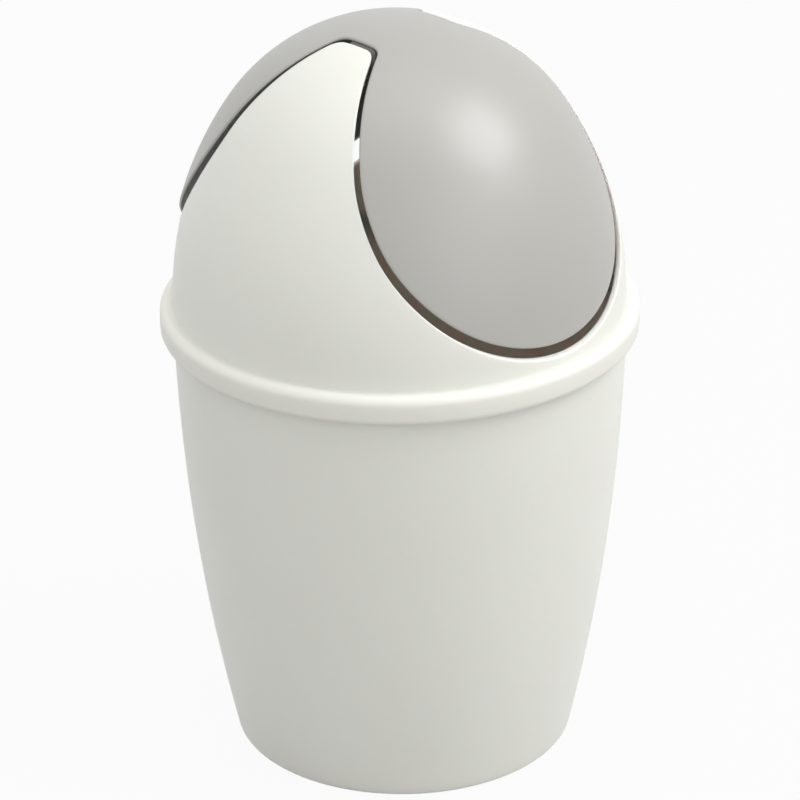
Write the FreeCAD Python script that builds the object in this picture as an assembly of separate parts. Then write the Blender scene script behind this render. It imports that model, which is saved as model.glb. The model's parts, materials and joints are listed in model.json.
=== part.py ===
"""Tabletop waste bin: a tapered pail, a domed lid and a swing flap.

Millimetres, +Z up. The origin is the centre of the foot on the table. The front
faces -Y, and the flap swings about an axis along X just under the lid's crown.
All three pieces are plastic mouldings of even wall.
"""
import FreeCAD, Part
import math
import os

# Pail
base_radius = 46.8
mouth_radius = 61.5
pail_height = 127.7
wall_bulge = 3.45
pail_wall = 1.6
floor_thickness = 2.0
foot_recess = 2.0
foot_width = 3.4
foot_round = 1.8
floor_round = 5.0
rim_depth = 3.0
rim_round = 0.5

# Lid
skirt_radius = 65.0
skirt_height = 7.8
skirt_wall = 2.4
skirt_top_round = 2.4
skirt_bottom_round = 1.8
lid_wall = 1.6
lid_clearance = 0.3
dome_radius = 61.4
dome_height = 78.7
crown_inset = 7.0

# Opening in the lid, measured from the shoulder that carries the dome
opening_half_width = 43.1
opening_sill = 2.45
neck_half_width = 15.2
neck_half_length = 6.4
corner_length = 2.6
cut_reach = 5.0

# Flap
flap_wall = 1.6
flap_proud = 0.2
side_gap = 1.5
sill_gap = 4.4
neck_gap = 1.6
corner_gap = 0.4

# Pivot: two trunnions on the flap in two tongues of the lid
pivot_drop = 7.7
pin_radius = 2.0
pin_clearance = 0.06
pin_end_chamfer = 0.4
pin_overhang = 0.8
collar_radius = 3.2
collar_clearance = 0.3
tongue_setback = 0.4
tongue_wall = 2.0
tongue_half_width = 4.5
gusset_wall = 1.2
gusset_reach = 9.5
gusset_drop = 4.2
gusset_rise = 3.2
ear_wall = 2.0
ear_inset = 0.7
ear_half_width = 4.6
neck_rib_wall = 1.4

# Degrees that the flap hangs off level at rest, towards the inside at the front
rest_swing = 1.44

# Shares of the dome's height that place the widest points of opening and flap and the axis that
# the opening's sides run towards, and the steps of the curves
waist_share = 0.47
flap_waist_share = 0.497
cut_axis_share = 0.25
curve_steps = 9
corner_steps = 4
overrun = 10.0

# Heights and radii that follow from the sizes above
shoulder_height = pail_height + lid_wall
skirt_bottom = shoulder_height - skirt_height
skirt_inside = skirt_radius - skirt_wall
rim_radius = skirt_inside - lid_clearance
dome_top = shoulder_height + dome_height
cut_axis = shoulder_height + cut_axis_share * dome_height
pivot_height = dome_top - pivot_drop
tongue_face = neck_half_width + tongue_setback
crown_radius = dome_radius - crown_inset
side_radius = (dome_radius**2 + dome_height**2 - 2 * dome_height * crown_radius) / (2 * crown_inset)
side_centre = FreeCAD.Vector(dome_radius - side_radius, 0, shoulder_height)
crown_centre = FreeCAD.Vector(0, 0, dome_top - crown_radius)
join_way = (crown_centre - side_centre).normalize()
join_point = side_centre + join_way * side_radius

AXIS_X = FreeCAD.Vector(1, 0, 0)
AXIS_Z = FreeCAD.Vector(0, 0, 1)
CENTRE = FreeCAD.Vector(0, 0, 0)


def at(radius, height):
    """A point of a profile that is turned about the bin's axis."""
    return FreeCAD.Vector(radius, 0, height)


def line(start, end):
    return Part.LineSegment(start, end).toShape()


def arc_about(centre, start, end):
    """The short arc from start to end about a centre."""
    middle = (start - centre).normalize() + (end - centre).normalize()
    middle = centre + middle.normalize() * (start - centre).Length
    return Part.Arc(start, middle, end).toShape()


def turned(edges):
    """The solid that a closed profile sweeps in a full turn about the bin's axis, in two halves."""
    face = Part.Face(Part.Wire(edges))
    half = face.revolve(CENTRE, AXIS_Z, 180)
    return half.fuse(half.rotated(CENTRE, AXIS_Z, 180))


def profile(corners):
    """Edges through corners (radius, height, round) in turn, with an arc on each that has a round."""
    points = [at(radius, height) for radius, height, _ in corners]
    edges = []
    start = points[0]
    for before, corner, after, (_, _, size) in zip(points, points[1:], points[2:], corners[1:]):
        end = corner
        following = corner
        if size:
            back = (before - corner).normalize()
            on = (after - corner).normalize()
            half = back.getAngle(on) / 2
            end = corner + back * (size / math.tan(half))
            following = corner + on * (size / math.tan(half))
        edges.append(line(start, end))
        if size:
            centre = corner + (back + on).normalize() * (size / math.sin(half))
            edges.append(arc_about(centre, end, following))
        start = following
    edges.append(line(start, points[-1]))
    return edges


def mirrored(shape, way):
    return shape.mirror(CENTRE, way)


# Pail: a slightly barrelled taper on a recessed foot, with a thickened rim

def pail_wall_centre():
    """Centre of the large arc that the outside of the wall follows."""
    foot = at(base_radius, 0)
    mouth = at(mouth_radius, pail_height)
    chord = mouth - foot
    radius = (chord.Length**2 / 4 + wall_bulge**2) / (2 * wall_bulge)
    inwards = FreeCAD.Vector(-chord.z, 0, chord.x).normalize()
    return (foot + mouth) / 2 + inwards * (radius - wall_bulge), radius


def make_pail():
    centre, radius = pail_wall_centre()
    inner_radius = radius - pail_wall

    def wall_at(arc_radius, height):
        return centre.x + math.sqrt(arc_radius**2 - (height - centre.z)**2)

    recess_radius = base_radius - foot_width
    wall_start = 2 * foot_round
    floor_top = foot_recess + floor_thickness
    inner_start = floor_top + 2 * floor_round
    rim_bottom = pail_height - rim_depth
    wall_end = rim_bottom - (rim_radius - wall_at(radius, rim_bottom))
    underside = [
        (0, foot_recess, 0),
        (recess_radius, foot_recess, 0),
        (recess_radius, 0, 0),
        (base_radius, 0, foot_round),
        (wall_at(radius, wall_start), wall_start, 0),
    ]
    mouth = [
        (wall_at(radius, wall_end), wall_end, 0),
        (rim_radius, rim_bottom, 0),
        (rim_radius, pail_height, rim_round),
        (wall_at(inner_radius, pail_height), pail_height, 0),
    ]
    inside = [
        (wall_at(inner_radius, inner_start), inner_start, 0),
        (wall_at(inner_radius, floor_top), floor_top, floor_round),
        (0, floor_top, 0),
        (0, foot_recess, 0),
    ]
    outer_wall = arc_about(centre, at(*underside[-1][:2]), at(*mouth[0][:2]))
    inner_wall = arc_about(centre, at(*mouth[-1][:2]), at(*inside[0][:2]))
    return turned(profile(underside) + [outer_wall] + profile(mouth) + [inner_wall] + profile(inside))


# Dome: the lid's outer form, a wide lower arc that runs into a tighter crown

def dome_edges(offset):
    """Half section of the dome from shoulder to crown, moved outwards by an offset."""
    foot = side_centre + AXIS_X * (side_radius + offset)
    join = side_centre + join_way * (side_radius + offset)
    top = crown_centre + AXIS_Z * (crown_radius + offset)
    return [arc_about(side_centre, foot, join), arc_about(crown_centre, join, top)], foot, top


def dome_height_at(radius):
    if radius < join_point.x:
        return crown_centre.z + math.sqrt(crown_radius**2 - radius**2)
    return side_centre.z + math.sqrt(side_radius**2 - (radius - side_centre.x)**2)


def dome_radius_at(height):
    if height > join_point.z:
        return math.sqrt(crown_radius**2 - (height - crown_centre.z)**2)
    return side_centre.x + math.sqrt(side_radius**2 - (height - side_centre.z)**2)


def dome_core(offset):
    """Solid dome down to the shoulder, with its outside moved by an offset."""
    edges, foot, top = dome_edges(offset)
    base = at(0, shoulder_height)
    return turned(edges + [line(top, base), line(base, foot)])


# Opening: in front view two half ellipses that share a waist, and a straight neck over the top

def front_edge(half_width, share, sill, neck, length):
    """Points of one side's edge on the dome, from the middle of the sill up to the middle of the neck."""
    waist = shoulder_height + share * dome_height
    corner_height = dome_height_at(math.hypot(neck, length))
    upper = (corner_height - waist) / math.sqrt(1 - (neck / half_width)**2)
    lower = waist - shoulder_height - sill

    def on_ellipse(angle):
        x = half_width * math.cos(angle)
        z = waist + (upper if angle > 0 else lower) * math.sin(angle)
        return FreeCAD.Vector(x, -math.sqrt(dome_radius_at(z)**2 - x**2), z)

    quarter = math.pi / 2
    last = math.acos((neck + corner_length) / half_width)
    points = [on_ellipse(-quarter + quarter * step / curve_steps) for step in range(curve_steps)]
    points += [on_ellipse(last * step / curve_steps) for step in range(curve_steps)]
    leaves = on_ellipse(last)
    corner = FreeCAD.Vector(neck, -length, 0)
    meets = FreeCAD.Vector(neck, corner_length - length, 0)
    for step in range(corner_steps + 1):
        on = step / corner_steps
        left = 1 - on
        x = left**2 * leaves.x + 2 * on * left * corner.x + on**2 * meets.x
        y = left**2 * leaves.y + 2 * on * left * corner.y + on**2 * meets.y
        points.append(FreeCAD.Vector(x, y, dome_height_at(math.hypot(x, y))))
    points.append(FreeCAD.Vector(neck, 0, dome_height_at(neck)))
    return points


def level_way(point):
    """The way out through the wall that keeps level along the pivot, for the lid's edge."""
    return FreeCAD.Vector(0, point.y, point.z - cut_axis).normalize()


def square_way(point):
    """The way out square to the dome, for the flap's edge."""
    radius = math.hypot(point.x, point.y)
    centre = crown_centre if point.z > join_point.z else side_centre
    spread = (radius - centre.x) / radius
    return FreeCAD.Vector(point.x * spread, point.y * spread, point.z - centre.z).normalize()


def cut_sheet(front, way):
    """Closed sheet through the dome along the whole of an edge."""
    rear = [FreeCAD.Vector(point.x, -point.y, point.z) for point in reversed(front[:-1])]
    points = front + rear
    travel = [0]
    for start, end in zip(points, points[1:]):
        travel.append(travel[-1] + (end - start).Length)

    def moved(reach):
        curve = Part.BSplineCurve()
        shifted = [point + way(point) * reach for point in points]
        curve.interpolate(
            Points=shifted, Parameters=travel, InitialTangent=AXIS_X, FinalTangent=-AXIS_X, Scale=False)
        return curve.toShape()

    side = Part.makeRuledSurface(moved(-cut_reach), moved(cut_reach))
    return Part.Shell([side, mirrored(side, AXIS_X)])


def split(shape, sheet, kept_point):
    """The piece that holds a point, of those that a sheet cuts a shape into."""
    pieces, _ = shape.generalFuse([sheet])
    nearest = Part.Vertex(kept_point)
    return min(pieces.Solids, key=lambda piece: piece.distToShape(nearest)[0])


# Lid: skirt, shoulder and dome in one moulding, with two tongues that carry the flap

def tongue(start, end, half_width):
    """Plate across X with a rounded lower end about the pivot, up past the crown."""
    low = FreeCAD.Vector(start, 0, pivot_height)
    round_end = Part.makeCylinder(half_width, end - start, low, AXIS_X)
    rise = dome_top - pivot_height + overrun
    plate = Part.makeBox(end - start, 2 * half_width, rise, FreeCAD.Vector(start, -half_width, pivot_height))
    return plate.fuse(round_end).removeSplitter()


def gusset(start):
    """Rib from a tongue out to the dome, at one edge of the tongue."""
    foot = pivot_height - gusset_drop
    outer = start + gusset_reach
    corners = [
        FreeCAD.Vector(start, 0, foot),
        FreeCAD.Vector(outer, 0, foot + gusset_rise),
        FreeCAD.Vector(outer, 0, dome_top),
        FreeCAD.Vector(start, 0, dome_top),
    ]
    face = Part.Face(Part.makePolygon(corners + corners[:1]))
    rib = face.extrude(FreeCAD.Vector(0, gusset_wall, 0))
    return rib.translated(FreeCAD.Vector(0, tongue_half_width - gusset_wall, 0))


def make_lid():
    outer, outer_foot, outer_top = dome_edges(0)
    inner, inner_foot, inner_top = dome_edges(-lid_wall)
    under = shoulder_height - lid_wall
    skirt = [
        (inner_foot.x, under, 0),
        (skirt_inside, under, 0),
        (skirt_inside, skirt_bottom, 0),
        (skirt_radius, skirt_bottom, skirt_bottom_round),
        (skirt_radius, shoulder_height, skirt_top_round),
        (outer_foot.x, shoulder_height, 0),
    ]
    crown = line(outer_top, inner_top)
    step = line(inner_foot, at(inner_foot.x, under))
    lid = turned(profile(skirt) + outer + [crown] + inner[::-1] + [step])

    edge = front_edge(opening_half_width, waist_share, opening_sill, neck_half_width, neck_half_length)
    sheet = cut_sheet(edge, level_way)
    lid = split(lid, sheet, at(skirt_radius - skirt_wall / 2, shoulder_height - skirt_height / 2))

    face = tongue_face
    back = face + tongue_wall
    bearing = tongue(face, back, tongue_half_width)
    rib = gusset(back)
    bearing = bearing.fuse([rib, mirrored(rib, FreeCAD.Vector(0, 1, 0))])
    bearing = bearing.common(dome_core(-lid_wall / 2))
    bore_start = FreeCAD.Vector(face - overrun, 0, pivot_height)
    bore = Part.makeCylinder(pin_radius + pin_clearance, tongue_wall + 2 * overrun, bore_start, AXIS_X)
    bearing = bearing.cut(bore)
    return lid.fuse([bearing, mirrored(bearing, AXIS_X)])


# Flap: a saddle that follows the dome a little proud of it, hung on two trunnions

def make_flap():
    shell = dome_core(flap_proud).cut(dome_core(flap_proud - flap_wall))
    neck = neck_half_width - neck_gap
    edge = front_edge(
        opening_half_width - side_gap, flap_waist_share, opening_sill + sill_gap, neck,
        neck_half_length + corner_gap)
    flap = split(shell, cut_sheet(edge, square_way), at(0, dome_top + flap_proud - flap_wall / 2))

    ear_outside = neck - ear_inset
    ear = tongue(ear_outside - ear_wall, ear_outside, ear_half_width)
    ear = ear.common(dome_core(flap_proud - flap_wall / 2))
    collar_end = tongue_face - collar_clearance
    collar_start = FreeCAD.Vector(ear_outside, 0, pivot_height)
    collar = Part.makeCylinder(collar_radius, collar_end - ear_outside, collar_start, AXIS_X)
    pin_length = collar_clearance + tongue_wall + pin_overhang
    pin = Part.makeCylinder(pin_radius, pin_length, FreeCAD.Vector(collar_end, 0, pivot_height), AXIS_X)
    tip = max(pin.Edges, key=lambda edge: edge.BoundBox.XMin)
    pin = pin.makeChamfer(pin_end_chamfer, [tip])
    trunnion = ear.fuse([collar, pin])

    rib_half = ear_outside - ear_wall
    rib_start = FreeCAD.Vector(-rib_half, -neck_rib_wall / 2, pivot_height)
    rib = Part.makeBox(2 * rib_half, neck_rib_wall, pivot_drop, rib_start)
    rib = rib.common(dome_core(flap_proud - flap_wall / 2))
    flap = flap.fuse([trunnion, mirrored(trunnion, AXIS_X), rib])
    return flap.rotated(FreeCAD.Vector(0, 0, pivot_height), AXIS_X, rest_swing)


def main():
    os.makedirs("parts", exist_ok=True)
    pieces = {"pail": make_pail(), "lid": make_lid(), "swing_flap": make_flap()}
    for name, shape in pieces.items():
        solid = shape.removeSplitter()
        solids = solid.Solids
        print(name, "solids", len(solids), "volume", round(solid.Volume), "valid", solid.isValid())
        solids[0].exportStep(os.path.join("parts", name + ".step"))


main()
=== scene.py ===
"""Looks of a tabletop waste bin: an off-white pail and domed lid with a light grey swing flap."""
import json
import math

import bmesh
import bpy
import numpy as np
from mathutils import Matrix, Vector


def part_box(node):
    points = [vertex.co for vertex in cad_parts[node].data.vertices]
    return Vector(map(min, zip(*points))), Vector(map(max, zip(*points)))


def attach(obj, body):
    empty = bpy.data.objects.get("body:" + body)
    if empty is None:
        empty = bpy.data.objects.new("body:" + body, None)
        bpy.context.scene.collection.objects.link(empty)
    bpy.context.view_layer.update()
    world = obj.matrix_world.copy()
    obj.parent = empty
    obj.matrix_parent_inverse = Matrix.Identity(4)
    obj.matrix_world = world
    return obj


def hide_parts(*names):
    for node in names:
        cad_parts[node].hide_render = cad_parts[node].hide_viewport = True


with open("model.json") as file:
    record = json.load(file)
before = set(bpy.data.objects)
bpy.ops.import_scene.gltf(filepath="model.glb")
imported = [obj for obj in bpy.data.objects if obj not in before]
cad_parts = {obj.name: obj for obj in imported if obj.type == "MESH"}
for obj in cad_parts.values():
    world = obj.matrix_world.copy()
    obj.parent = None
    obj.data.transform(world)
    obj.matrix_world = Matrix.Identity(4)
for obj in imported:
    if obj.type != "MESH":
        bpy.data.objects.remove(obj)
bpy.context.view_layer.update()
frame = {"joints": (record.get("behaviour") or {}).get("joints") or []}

# Pail
# The bucket that stands on the table: one thin-walled injection moulding in off-white
# polypropylene, barrelled a little between a recessed foot ring and a stepped rim. It is made in
# one shot on a steel core, so all its edges are rounded and its wall has one thickness.

mm = 0.001
pail_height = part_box("pail")[1].z
rim_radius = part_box("pail")[1].x
base_radius = 46.8 * mm
mouth_radius = 61.5 * mm
wall_bulge = 3.45 * mm
pail_wall = 1.6 * mm
floor_thickness = 2.0 * mm
foot_recess = 2.0 * mm
foot_width = 3.4 * mm
foot_round = 1.8 * mm
foot_inner_round = 0.6 * mm
floor_round = 5.0 * mm
rim_depth = 3.0 * mm
rim_round = 0.5 * mm
wall_steps = 24
turn_steps = 240
round_steps = 6


def rounded(corners):
    """Points along a profile of (radius, height, round) corners, with an arc at each round corner."""
    spots = [np.array(corner[:2]) for corner in corners]
    points = [spots[0]]
    for before, spot, after, (_, _, size) in zip(spots, spots[1:], spots[2:], corners[1:]):
        if not size:
            points.append(spot)
            continue
        back = (before - spot) / np.linalg.norm(before - spot)
        on = (after - spot) / np.linalg.norm(after - spot)
        half = math.acos(back @ on) / 2
        reach = size / math.tan(half)
        centre = spot + (back + on) / np.linalg.norm(back + on) * size / math.sin(half)
        first = spot + back * reach - centre
        last = spot + on * reach - centre
        sweep = math.pi - 2 * half
        for step in range(round_steps + 1):
            turn = sweep * step / round_steps
            spoke = first * math.sin(sweep - turn) + last * math.sin(turn)
            points.append(centre + spoke / math.sin(sweep))
    points.append(spots[-1])
    return np.array(points)


def moulding(name, *shells):
    """A piece made of shells of quads. Each shell is rows of points that follow each other all the
    way round, and whether each row closes on itself; points that meet are welded."""
    weld_distance = 0.002 * mm
    sharp_angle = math.radians(40)
    mesh = bmesh.new()
    for rows, closed in shells:
        grid = [[mesh.verts.new(point) for point in row] for row in rows]
        length = len(grid[0])
        for near, far in zip(grid, grid[1:] + grid[:1]):
            for step in range(length if closed else length - 1):
                following = (step + 1) % length
                mesh.faces.new((near[step], near[following], far[following], far[step]))
    bmesh.ops.remove_doubles(mesh, verts=mesh.verts, dist=weld_distance)
    bmesh.ops.recalc_face_normals(mesh, faces=mesh.faces)
    data = bpy.data.meshes.new(name)
    mesh.to_mesh(data)
    mesh.free()
    data.shade_smooth()
    data.set_sharp_from_angle(angle=sharp_angle)
    piece = bpy.data.objects.new(name, data)
    bpy.context.scene.collection.objects.link(piece)
    return piece


def turned(profile, turns):
    """Rows of a profile of (radius, height) points, one row at each turn from the front about the
    bin's axis."""
    radius, height = np.asarray(profile).T
    turns = np.asarray(turns)[:, None]
    flat = np.broadcast_to(height, (len(turns), len(height)))
    return np.stack([radius * np.sin(turns), -radius * np.cos(turns), flat], axis=-1)


chord = np.array([mouth_radius - base_radius, pail_height])
chord_length = np.linalg.norm(chord)
wall_curve = (chord_length**2 / 4 + wall_bulge**2) / (2 * wall_bulge)
wall_middle = np.array([base_radius + mouth_radius, pail_height]) / 2
wall_inwards = np.array([-chord[1], chord[0]]) / chord_length
wall_centre = wall_middle + wall_inwards * (wall_curve - wall_bulge)


def wall_at(height, inset):
    """A smooth point of the pail's wall, moved in from the outside."""
    radius = wall_centre[0] + math.sqrt((wall_curve - inset)**2 - (height - wall_centre[1])**2)
    return radius, height, 0


floor_top = foot_recess + floor_thickness
recess_radius = base_radius - foot_width
rim_bottom = pail_height - rim_depth
rim_step = rim_radius - wall_at(rim_bottom, 0)[0]
outside_heights = np.linspace(2 * foot_round, rim_bottom - rim_step, wall_steps)
inside_heights = np.linspace(pail_height, floor_top + 2 * floor_round, wall_steps)
inside = [wall_at(height, pail_wall) for height in inside_heights]
pail_corners = [
    (0, foot_recess, 0),
    (recess_radius, foot_recess, foot_inner_round),
    (recess_radius, 0, foot_inner_round),
    (base_radius, 0, foot_round),
    *[wall_at(height, 0) for height in outside_heights],
    (rim_radius, rim_bottom, rim_round),
    (rim_radius, pail_height, rim_round),
    (inside[0][0], pail_height, rim_round),
    *inside[1:],
    (wall_at(floor_top, pail_wall)[0], floor_top, floor_round),
    (0, floor_top, 0),
]
pail_turns = np.linspace(0, 2 * math.pi, turn_steps, endpoint=False)
pail = moulding("pail_moulding", (turned(rounded(pail_corners), pail_turns), False))


def linear(code):
    """Linear colour of an sRGB hex value."""
    parts = [int(code[place:place + 2], 16) / 255 for place in (0, 2, 4)]
    return [part / 12.92 if part <= 0.04045 else ((part + 0.055) / 1.055)**2.4 for part in parts] + [1]


def add(tree, kind, inputs, **settings):
    """A shader node with its settings, values and links."""
    node = tree.nodes.new(kind)
    for name, value in settings.items():
        setattr(node, name, value)
    for name, value in inputs.items():
        if isinstance(value, bpy.types.NodeSocket):
            tree.links.new(value, node.inputs[name])
        else:
            node.inputs[name].default_value = value
    return node


def moulded_polypropylene(name, clear, clouded, roughness, mirror, clarity):
    """Injection-moulded polypropylene from a spark-eroded mould: a satin skin with a fine even
    grain that breaks up the highlights, and a faint clouding where the melt cooled unevenly. Lightly
    tinted, it lets a little warm light through a thin wall, which lifts the dark inside the bin."""
    refraction = 1.49
    cloud_width = 45 * mm
    sheen_width = 22 * mm
    sheen_spread = 0.04
    # The real grain is about 0.2 mm; it is drawn at 0.7 mm so that it shows at all
    grain_width = 0.7 * mm
    grain_depth = 0.006 * mm
    grain_strength = 0.5
    light_reach = 2.0 * mm
    red_green_blue_reach = (1.0, 0.83, 0.88)
    material = bpy.data.materials.new(name)
    material.use_nodes = True
    tree = material.node_tree
    tree.nodes.clear()
    place = add(tree, "ShaderNodeTexCoord", {}).outputs["Object"]
    cloud = add(tree, "ShaderNodeTexNoise", {"Vector": place, "Scale": 1 / cloud_width, "Detail": 3})
    colour = add(tree, "ShaderNodeMix", {"Factor": cloud.outputs["Fac"]}, data_type="RGBA")
    colour.inputs["A"].default_value = linear(clear)
    colour.inputs["B"].default_value = linear(clouded)
    sheen = add(tree, "ShaderNodeTexNoise", {"Vector": place, "Scale": 1 / sheen_width, "Detail": 2})
    rough = add(tree, "ShaderNodeMapRange", {
        "Value": sheen.outputs["Fac"],
        "To Min": roughness - sheen_spread,
        "To Max": roughness + sheen_spread,
    })
    grain = add(tree, "ShaderNodeTexNoise", {"Vector": place, "Scale": 1 / grain_width, "Detail": 1})
    bump = add(tree, "ShaderNodeBump", {
        "Height": grain.outputs["Fac"],
        "Strength": grain_strength,
        "Distance": grain_depth,
    })
    plastic = add(tree, "ShaderNodeBsdfPrincipled", {
        "Base Color": colour.outputs["Result"],
        "Roughness": rough.outputs["Result"],
        "Normal": bump.outputs["Normal"],
        "IOR": refraction,
        "Specular IOR Level": mirror,
        "Subsurface Weight": clarity,
        "Subsurface Radius": red_green_blue_reach,
        "Subsurface Scale": light_reach,
    })
    add(tree, "ShaderNodeOutputMaterial", {"Surface": plastic.outputs["BSDF"]})
    return material


# The white is tinted so lightly that light spreads inside its wall. Its mirror level is the usual one
white_polypropylene = moulded_polypropylene(
    "off_white_moulded_polypropylene", "e8e8e1", "e4e4dd", roughness=0.44, mirror=0.5, clarity=1)
pail.data.materials.append(white_polypropylene)
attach(pail, "pail")
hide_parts("pail")

# Lid
# Dome, shoulder and skirt are one moulding in the same off-white polypropylene. A saddle-shaped
# opening over the top leaves two cheeks, and under each cheek's tip hangs a tongue with a bore,
# stiffened by two ribs, that the flap's pin snaps into. The lid rests on the pail's rim.

lid_wall = 1.6 * mm
shoulder = pail_height + lid_wall
skirt_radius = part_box("lid")[1].x
skirt_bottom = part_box("lid")[0].z
skirt_wall = 2.4 * mm
skirt_top_round = 2.4 * mm
skirt_bottom_round = 1.8 * mm
crease_round = 0.6 * mm
dome_radius = 61.4 * mm
dome_height = 78.7 * mm
crown_inset = 7.0 * mm
opening_half_width = 43.1 * mm
opening_sill = 2.45 * mm
neck_half_width = 15.2 * mm
neck_half_length = 6.4 * mm
corner_length = 2.6 * mm
waist_share = 0.47
cut_axis_share = 0.25
lid_edge_round = 0.45 * mm
lid_inner_round = 0.25 * mm
edge_spacing = 0.6 * mm
lobe_steps = 240
corner_steps = 24
neck_steps = 12
lid_face_steps = 34
lid_inside_steps = 20
lid_edge_steps = 5
lid_inner_steps = 3

crown_radius = dome_radius - crown_inset
side_radius = (dome_radius**2 + dome_height**2 - 2 * dome_height * crown_radius) / (2 * crown_inset)
side_centre = dome_radius - side_radius
crown_centre = dome_height - crown_radius
join_rise = math.atan2(crown_centre, -side_centre)
cut_axis = cut_axis_share * dome_height


def dome_reach(rise, proud):
    """Distance of the dome from the bin's axis by the rise of the outward normal."""
    low = side_centre + (side_radius + proud) * np.cos(rise)
    return np.where(rise < join_rise, low, (crown_radius + proud) * np.cos(rise))


def dome(turn, rise, proud):
    """Points of the dome by their turn from the front and the rise of the outward normal."""
    reach = dome_reach(rise, proud)
    low = (side_radius + proud) * np.sin(rise)
    height = np.where(rise < join_rise, low, crown_centre + (crown_radius + proud) * np.sin(rise))
    return np.stack([reach * np.sin(turn), -reach * np.cos(turn), shoulder + height], axis=-1)


def dome_rise(height, proud):
    """Rise of the outward normal at a height above the shoulder."""
    low = height < (side_radius + proud) * math.sin(join_rise)
    share = np.where(low, height / (side_radius + proud), (height - crown_centre) / (crown_radius + proud))
    return np.arcsin(np.clip(share, -1, 1))


def on_dome(across, swing, proud):
    """Points of the dome by their place along the pivot's direction and their angle about the cut's
    axis, found by halving the span that holds them."""
    halvings = 48
    near = np.zeros_like(across)
    far = np.full_like(across, 2 * dome_height)
    for _ in range(halvings):
        reach = (near + far) / 2
        rise = dome_rise(cut_axis + reach * np.sin(swing), proud)
        within = np.hypot(across, reach * np.cos(swing)) < dome_reach(rise, proud)
        near = np.where(within, reach, near)
        far = np.where(within, far, reach)
    return np.stack([across, -near * np.cos(swing), shoulder + cut_axis + near * np.sin(swing)], axis=-1)


def edge_line(half_width, share, sill, neck, length):
    """The whole edge of an opening or flap as evenly spaced (across, swing): two half ellipses in front
    view that share a waist, joined by a rounded corner to a straight neck over the top."""
    waist = share * dome_height
    corner_rise = np.arccos(math.hypot(neck, length) / crown_radius)
    corner_height = crown_centre + crown_radius * math.sin(corner_rise)
    upper = (corner_height - waist) / math.sqrt(1 - (neck / half_width)**2)
    angle = np.linspace(-math.pi / 2, math.acos((neck + corner_length) / half_width), lobe_steps)
    across = half_width * np.cos(angle)
    height = waist + np.where(angle > 0, upper, waist - sill) * np.sin(angle)
    side = np.sqrt(dome_reach(dome_rise(height, 0), 0)**2 - across**2)
    on = np.linspace(0, 1, corner_steps)[1:]
    left = 1 - on
    bend_across = left**2 * across[-1] + (1 - left**2) * neck
    bend_side = left**2 * side[-1] + 2 * on * left * length + on**2 * (length - corner_length)
    neck_side = np.linspace(length - corner_length, 0, neck_steps)[1:]
    across = np.concatenate([across, bend_across, np.full_like(neck_side, neck)])
    side = np.concatenate([side, bend_side, neck_side])
    over = crown_centre + np.sqrt(np.maximum(crown_radius**2 - across**2 - side**2, 0))
    height = np.concatenate([height, over[len(height):]])
    across = np.concatenate([across, across[-2::-1]])
    side = np.concatenate([side, -side[-2::-1]])
    height = np.concatenate([height, height[-2::-1]])
    swing = np.unwrap(np.arctan2(height - cut_axis, side))
    points = on_dome(across, swing, 0)
    travel = np.concatenate([[0], np.cumsum(np.linalg.norm(np.diff(points, axis=0), axis=1))])
    even = np.linspace(0, travel[-1], round(travel[-1] / edge_spacing) + 1)
    across = np.interp(even, travel, across)
    swing = np.interp(even, travel, swing)
    return np.concatenate([across, -across[-2:0:-1]]), np.concatenate([swing, swing[-2:0:-1]])


def unit(vectors):
    """Vectors at length one."""
    return vectors / np.linalg.norm(vectors, axis=-1, keepdims=True)


def edge_frame(across, swing, proud):
    """The rim of an edge, the way out over the surface from it, and the way out square to the surface."""
    rim = on_dome(across, swing, proud)
    along = unit(np.roll(rim, -1, axis=0) - np.roll(rim, 1, axis=0))
    rise = dome_rise(rim[:, 2] - shoulder, proud)
    turn = np.arctan2(rim[:, 0], -rim[:, 1])
    square = np.stack([np.cos(rise) * np.sin(turn), -np.cos(rise) * np.cos(turn), np.sin(rise)], axis=-1)
    return rim, unit(np.cross(along, square)), square


def eased(start, corner, end, steps):
    """Rows of a soft corner from start to end."""
    share = np.linspace(0, 1, steps + 1)[None, :, None]
    bend = 2 * share * (1 - share) * corner[:, None]
    return (1 - share)**2 * start[:, None] + bend + share**2 * end[:, None]


across, swing = edge_line(opening_half_width, waist_share, opening_sill, neck_half_width, neck_half_length)
outer, away, _ = edge_frame(across, swing, 0)
inner = on_dome(across, swing, -lid_wall)
through = unit(inner - outer)
outer_edge = eased(outer + away * lid_edge_round, outer, outer + through * lid_edge_round, lid_edge_steps)
inner_edge = eased(inner - through * lid_inner_round, inner, inner + away * lid_inner_round, lid_inner_steps)
top = outer_edge[:, 0]
top_turn = np.arctan2(top[:, 0], -top[:, 1])[:, None]
top_rise = dome_rise(top[:, 2] - shoulder, 0)[:, None]
crease_rise = math.asin(2 * crease_round / side_radius)
climb = np.linspace(0, 1, lid_face_steps, endpoint=False)[None]
outer_face = dome(top_turn + 0 * climb, crease_rise + (top_rise - crease_rise) * climb, 0)
back = inner_edge[:, -1]
back_turn = np.arctan2(back[:, 0], -back[:, 1])[:, None]
back_rise = dome_rise(back[:, 2] - shoulder, -lid_wall)[:, None]
lean = (top_turn - back_turn + math.pi) % (2 * math.pi) - math.pi
fall = np.linspace(0, 1, lid_inside_steps + 1)[None, 1:]
inner_face = dome(back_turn + lean * fall, back_rise * (1 - fall), -lid_wall)
skirt_inside = skirt_radius - skirt_wall
inner_foot = dome_radius - lid_wall
foot_radius = dome_reach(crease_rise, 0)
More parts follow.
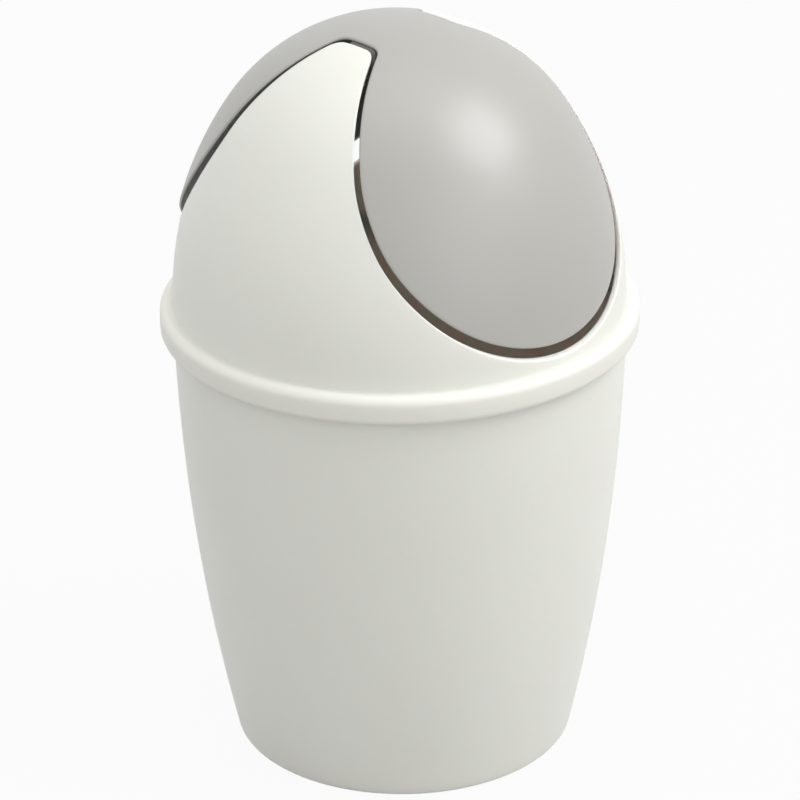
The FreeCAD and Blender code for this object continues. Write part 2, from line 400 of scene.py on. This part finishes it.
skirt_corners = [
    (inner_foot, shoulder, 0),
    (inner_foot, pail_height, lid_inner_round),
    (skirt_inside, pail_height, lid_inner_round),
    (skirt_inside, skirt_bottom, lid_inner_round),
    (skirt_radius, skirt_bottom, skirt_bottom_round),
    (skirt_radius, shoulder, skirt_top_round),
    (dome_radius, shoulder, crease_round),
    (foot_radius, shoulder + 2 * crease_round, 0),
]
skirt = turned(rounded(skirt_corners)[1:-1], top_turn[:, 0])
lid_rows = np.concatenate([outer_face, outer_edge, inner_edge, inner_face, skirt], axis=1)

pivot = next(joint for joint in frame["joints"] if joint["name"] == "flap_swing")["pos_m"][2]
pin_radius = 2.0 * mm
pin_clearance = 0.06 * mm
tongue_setback = 0.4 * mm
tongue_wall = 2.0 * mm
tongue_half_width = 4.5 * mm
gusset_wall = 1.2 * mm
gusset_reach = 9.5 * mm
gusset_drop = 4.2 * mm
gusset_rise = 3.2 * mm
gusset_steps = 8
root_depth = 0.15 * mm
spoke_steps = 48


def crown_at(across, proud):
    """Height of the dome's crown over the pivot's line."""
    return shoulder + crown_centre + np.sqrt((crown_radius + proud)**2 - across**2)


def spun(profile, half_width=0, root=0):
    """Rows of (across, radius) points about the pivot. A radius of None follows a plate that is round
    below the pivot and straight above it, up to its root in the dome's wall."""
    rows = []
    for spoke in range(spoke_steps):
        angle = 2 * math.pi * (spoke + 0.5) / spoke_steps
        row = []
        for place, radius in profile:
            if radius is None:
                radius = half_width
                if math.sin(angle) > 0:
                    side = min(half_width, abs((crown_at(place, root) - pivot) / math.tan(angle)))
                    roof = crown_at(math.hypot(place, side), root) - pivot
                    radius = min(half_width / abs(math.cos(angle)), roof / math.sin(angle))
            row.append((place, radius * math.cos(angle), pivot + radius * math.sin(angle)))
        rows.append(row)
    return np.array(rows)


def flat_rib(outline, start, end):
    """Rows of a flat rib between two depths, with an outline of (across, height) points."""
    middle, level = np.mean(outline, axis=0)
    rows = []
    for across, height in outline:
        near = [(middle, start, level), (across, start, height)]
        far = [(across, end, height), (middle, end, level)]
        rows.append(near + far)
    return np.array(rows)


mirrored = np.array([-1, 1, 1])
lid_root = root_depth - lid_wall
tongue_face = neck_half_width + tongue_setback
tongue_back = tongue_face + tongue_wall
bore = pin_radius + pin_clearance
tongue_profile = [(tongue_face, bore), (tongue_face, None), (tongue_back, None), (tongue_back, bore)]
tongue = spun(tongue_profile, tongue_half_width, lid_root)
gusset_end = tongue_back + gusset_reach
gusset_root = tongue_back - tongue_wall / 2
gusset_line = [(gusset_root, pivot - gusset_drop), (gusset_end, pivot - gusset_drop + gusset_rise)]
for spot in np.linspace(gusset_end, gusset_root, gusset_steps):
    gusset_line.append((spot, crown_at(np.hypot(spot, tongue_half_width), lid_root)))
gusset_near = tongue_half_width - gusset_wall
lid_shells = [(lid_rows, True)]
for hand in (1, mirrored):
    lid_shells.append((tongue * hand, True))
    lid_shells.append((flat_rib(gusset_line, gusset_near, tongue_half_width) * hand, False))
    lid_shells.append((flat_rib(gusset_line, -tongue_half_width, -gusset_near) * hand, False))
lid = moulding("lid_moulding", *lid_shells)
lid.data.materials.append(white_polypropylene)
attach(lid, "lid")
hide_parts("lid")

# Swing flap
# A saddle that fills the opening a little proud of the dome, moulded in light grey polypropylene.
# Its edge is rounded outside and thinned inside. Two ears under the neck carry collars and pins,
# moulded on, which hang in the lid's tongues, and a rib across the neck keeps the ears apart.

flap_wall = 1.6 * mm
flap_proud = 0.2 * mm
side_gap = 1.5 * mm
sill_gap = 4.4 * mm
neck_gap = 1.6 * mm
corner_gap = 0.4 * mm
flap_waist_share = 0.497
rest_swing = math.radians(1.44)
flap_edge_round = 0.7 * mm
flap_edge_depth = 0.6 * mm
flap_inner_round = 0.95 * mm
flap_inner_reach = 2.0 * mm
flap_edge_steps = 8
flap_inner_steps = 6
ear_wall = 2.0 * mm
ear_inset = 0.7 * mm
ear_half_width = 4.6 * mm
collar_radius = 3.2 * mm
collar_clearance = 0.3 * mm
pin_overhang = 0.8 * mm
pin_chamfer = 0.4 * mm
neck_rib_wall = 1.4 * mm
neck_rib_steps = 16
spine_share = 0.75
flap_face_steps = 28

flap_neck = neck_half_width - neck_gap
across, swing = edge_line(
    opening_half_width - side_gap, flap_waist_share, opening_sill + sill_gap, flap_neck,
    neck_half_length + corner_gap)
outer, away, square = edge_frame(across, swing, flap_proud)
inner = outer - square * flap_wall
outer_edge = eased(outer - away * flap_edge_round, outer, outer - square * flap_edge_depth, flap_edge_steps)
inner_edge = eased(
    inner + square * flap_inner_round, inner - away * flap_inner_round, inner - away * flap_inner_reach,
    flap_inner_steps)


def flap_face(rim, shares, proud):
    """Rows over a face of the flap from its spine (share 0) to its rim (share 1)."""
    level = math.pi / 2
    rim_swing = level + np.arctan2(rim[:, 1], rim[:, 2] - shoulder - cut_axis)
    spread = spine_share + (1 - spine_share) * shares
    swing = level + (rim_swing - level)[:, None] * spread
    return on_dome(rim[:, :1] * shares, swing, proud)


shares = np.linspace(0, 1, flap_face_steps, endpoint=False)[None]
outer_face = flap_face(outer_edge[:, 0], shares, flap_proud)
inner_face = flap_face(inner_edge[:, -1], shares[:, ::-1], flap_proud - flap_wall)
flap_rows = np.concatenate([outer_face, outer_edge, inner_edge, inner_face], axis=1)

ear_outside = flap_neck - ear_inset
ear_inside = ear_outside - ear_wall
ear_middle = (ear_inside + ear_outside) / 2
flap_root = flap_proud - flap_wall + root_depth
ear_profile = [(ear_inside, 0), (ear_inside, None), (ear_outside, None), (ear_outside, 0)]
ear = spun(ear_profile, ear_half_width, flap_root)
collar_end = tongue_face - collar_clearance
pin_end = tongue_back + pin_overhang
trunnion = spun([
    (ear_middle, 0),
    (ear_middle, collar_radius),
    (collar_end, collar_radius),
    (collar_end, pin_radius),
    (pin_end - pin_chamfer, pin_radius),
    (pin_end, pin_radius - pin_chamfer),
    (pin_end, 0),
])
neck_rib_line = [(-ear_middle, pivot), (ear_middle, pivot)]
for spot in np.linspace(ear_middle, -ear_middle, neck_rib_steps):
    neck_rib_line.append((spot, crown_at(spot, flap_root)))
neck_rib = flat_rib(neck_rib_line, -neck_rib_wall / 2, neck_rib_wall / 2)
flap_shells = [(flap_rows, False), (neck_rib, False)]
for hand in (1, mirrored):
    flap_shells.append((ear * hand, False))
    flap_shells.append((trunnion * hand, False))
flap = moulding("flap_moulding", *flap_shells)
to_pivot = Matrix.Translation((0, 0, pivot))
flap.data.transform(to_pivot @ Matrix.Rotation(rest_swing, 4, "X") @ to_pivot.inverted())
# The grey stops the light at its skin. Its mirror level is twice the usual one, matched to the
# photographed highlight
grey_polypropylene = moulded_polypropylene(
    "light_grey_moulded_polypropylene", "a9a8a3", "a5a49f", roughness=0.37, mirror=1.0, clarity=0)
flap.data.materials.append(grey_polypropylene)
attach(flap, "flap")
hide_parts("swing_flap")

# Table and backdrop
# A plain sheet of matt white paper under the bin, and an even white surround. The sheet is washed
# with white where it is seen, and the share of paper that is left keeps the bin's soft shadow.

sheet_half = 3.0
washed_share = 0.94
surround_level = 0.93
white_light = (1, 1, 1, 1)
sheet_corners = [
    (-sheet_half, -sheet_half, 0),
    (sheet_half, -sheet_half, 0),
    (sheet_half, sheet_half, 0),
    (-sheet_half, sheet_half, 0),
]
sheet_mesh = bpy.data.meshes.new("table_sheet")
sheet_mesh.from_pydata(sheet_corners, [], [(0, 1, 2, 3)])
table = bpy.data.objects.new("table_sheet", sheet_mesh)
bpy.context.scene.collection.objects.link(table)
paper = bpy.data.materials.new("matt_white_paper")
paper.use_nodes = True
paper_tree = paper.node_tree
paper_tree.nodes.clear()


def shows_white(tree):
    """Rays that see the surround as plain white: from the camera, in a gloss or through a clear wall."""
    ray = add(tree, "ShaderNodeLightPath", {})
    seen = add(tree, "ShaderNodeMath", {
        0: ray.outputs["Is Camera Ray"], 1: ray.outputs["Is Glossy Ray"]}, operation="MAXIMUM")
    return add(tree, "ShaderNodeMath", {
        0: seen.outputs[0], 1: ray.outputs["Is Transmission Ray"]}, operation="MAXIMUM").outputs[0]


matt = add(paper_tree, "ShaderNodeBsdfDiffuse", {"Color": linear("b0b0b0")})
bright = add(paper_tree, "ShaderNodeEmission", {"Color": white_light, "Strength": 1})
washed = add(paper_tree, "ShaderNodeMath", {
    0: shows_white(paper_tree), 1: washed_share}, operation="MULTIPLY")
cover = add(paper_tree, "ShaderNodeMixShader", {
    0: washed.outputs[0], 1: matt.outputs[0], 2: bright.outputs[0]})
add(paper_tree, "ShaderNodeOutputMaterial", {"Surface": cover.outputs[0]})
sheet_mesh.materials.append(paper)

world = bpy.data.worlds.new("studio")
bpy.context.scene.world = world
world.use_nodes = True
world_tree = world.node_tree
world_tree.nodes.clear()
surround = add(world_tree, "ShaderNodeBackground", {"Color": white_light, "Strength": surround_level})
white = add(world_tree, "ShaderNodeBackground", {"Color": white_light, "Strength": 1})
choice = add(world_tree, "ShaderNodeMixShader", {
    0: shows_white(world_tree), 1: surround.outputs[0], 2: white.outputs[0]})
add(world_tree, "ShaderNodeOutputWorld", {"Surface": choice.outputs[0]})

# Light
# Three round soft boxes on a sphere about the bin. The main one stands high on the right and gives the
# flap its broad highlight; a weak one from the front right and one overhead fill the shade.

aim = Vector((0, 0, 100 * mm))
box_distance = 1.5
view_turn = math.radians(-45.46)


def soft_box(name, turn, rise, width, power):
    """A round lamp by its turn to the right of the camera and its rise, in degrees."""
    turn = view_turn + math.radians(turn)
    rise = math.radians(rise)
    way = Vector((math.sin(turn) * math.cos(rise), -math.cos(turn) * math.cos(rise), math.sin(rise)))
    lamp = bpy.data.lights.new(name, "AREA")
    lamp.shape = "DISK"
    lamp.size = width
    lamp.energy = power
    holder = bpy.data.objects.new(name, lamp)
    holder.location = aim + way * box_distance
    holder.rotation_euler = way.to_track_quat("Z", "Y").to_euler()
    bpy.context.scene.collection.objects.link(holder)


soft_box("right", turn=79, rise=46, width=0.98, power=9.5)
soft_box("front right", turn=36, rise=15, width=1.2, power=1.6)
soft_box("overhead", turn=0, rise=88, width=1.2, power=2)

# Camera
# A long lens from the front left, above the lid, at the angle and distance that the outline of the
# bin in the photograph gives. A slight roll and shift place the bin in the frame.

view_rise = math.radians(25.69)
view_roll = -0.011
view_distance = 1126.2 * mm
view_target = Vector((0, 0, 98.96 * mm))
focal_pixels = 4111.5
frame_pixels = 800
sensor = 36
shift_right = -0.0011
shift_up = -0.0043
back_way = Vector((
    math.sin(view_turn) * math.cos(view_rise),
    -math.cos(view_turn) * math.cos(view_rise),
    math.sin(view_rise),
))
level_right = Vector((0, 0, 1)).cross(back_way).normalized()
level_up = back_way.cross(level_right)
right = math.cos(view_roll) * level_right + math.sin(view_roll) * level_up
up = back_way.cross(right)
camera_data = bpy.data.cameras.new("camera")
camera_data.sensor_width = sensor
camera_data.lens = focal_pixels / frame_pixels * sensor
camera_data.shift_x = shift_right
camera_data.shift_y = shift_up
camera = bpy.data.objects.new("camera", camera_data)
stand = Matrix.Translation(view_target + back_way * view_distance)
camera.matrix_world = stand @ Matrix((right, up, back_way)).transposed().to_4x4()
bpy.context.scene.collection.objects.link(camera)
bpy.context.scene.camera = camera
bpy.context.scene.view_settings.view_transform = "Standard"
